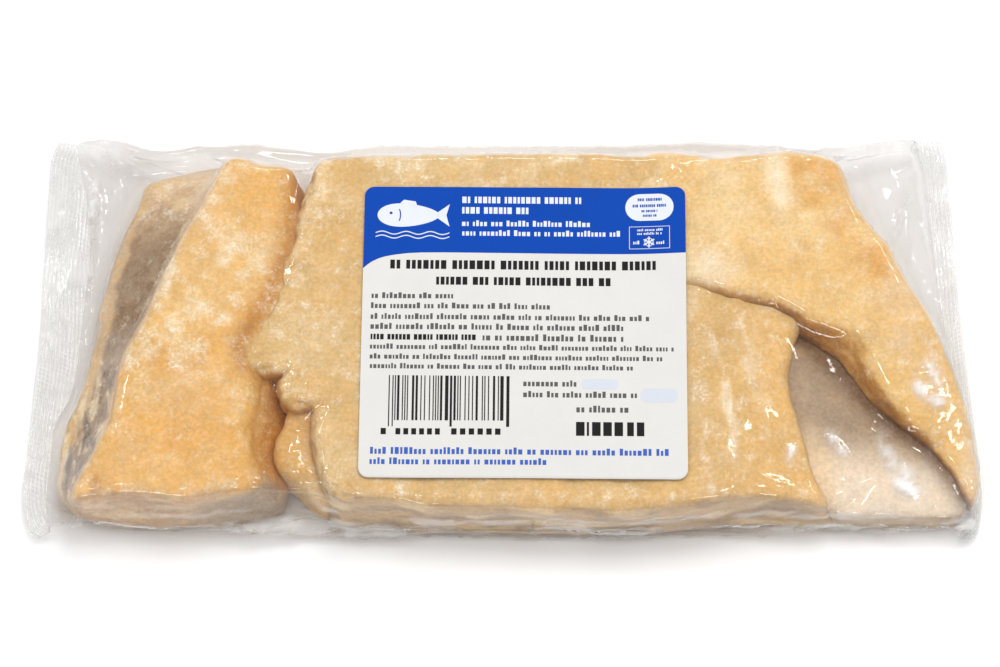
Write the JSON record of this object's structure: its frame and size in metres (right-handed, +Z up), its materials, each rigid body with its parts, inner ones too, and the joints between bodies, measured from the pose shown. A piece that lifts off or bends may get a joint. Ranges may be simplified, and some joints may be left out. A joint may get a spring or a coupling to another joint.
{
  "type": "clear sealed bag of frozen desalted cod pieces",
  "caption": "Clear flow-wrapped film bag of frozen cod pieces, crimped flat at both ends, with a paper label stuck on the top face.",
  "frame": {"origin": "on the resting surface, under the middle of the outline", "axes": "+X along the length from seal to seal, +Y to the back edge, +Z up"},
  "size_m": [0.261, 0.1199, 0.026],
  "materials": {
    "film": "clear glossy film, crimped ends",
    "label_paper": "white coated label with blue header",
    "cod_flesh": "frozen cod flesh with a frosty ice glaze",
    "cod_skin": "grey-brown cod skin under frost"
  },
  "bodies": {
    "root": {"bag": "film", "label": "label_paper"}
  },
  "joints": []
}
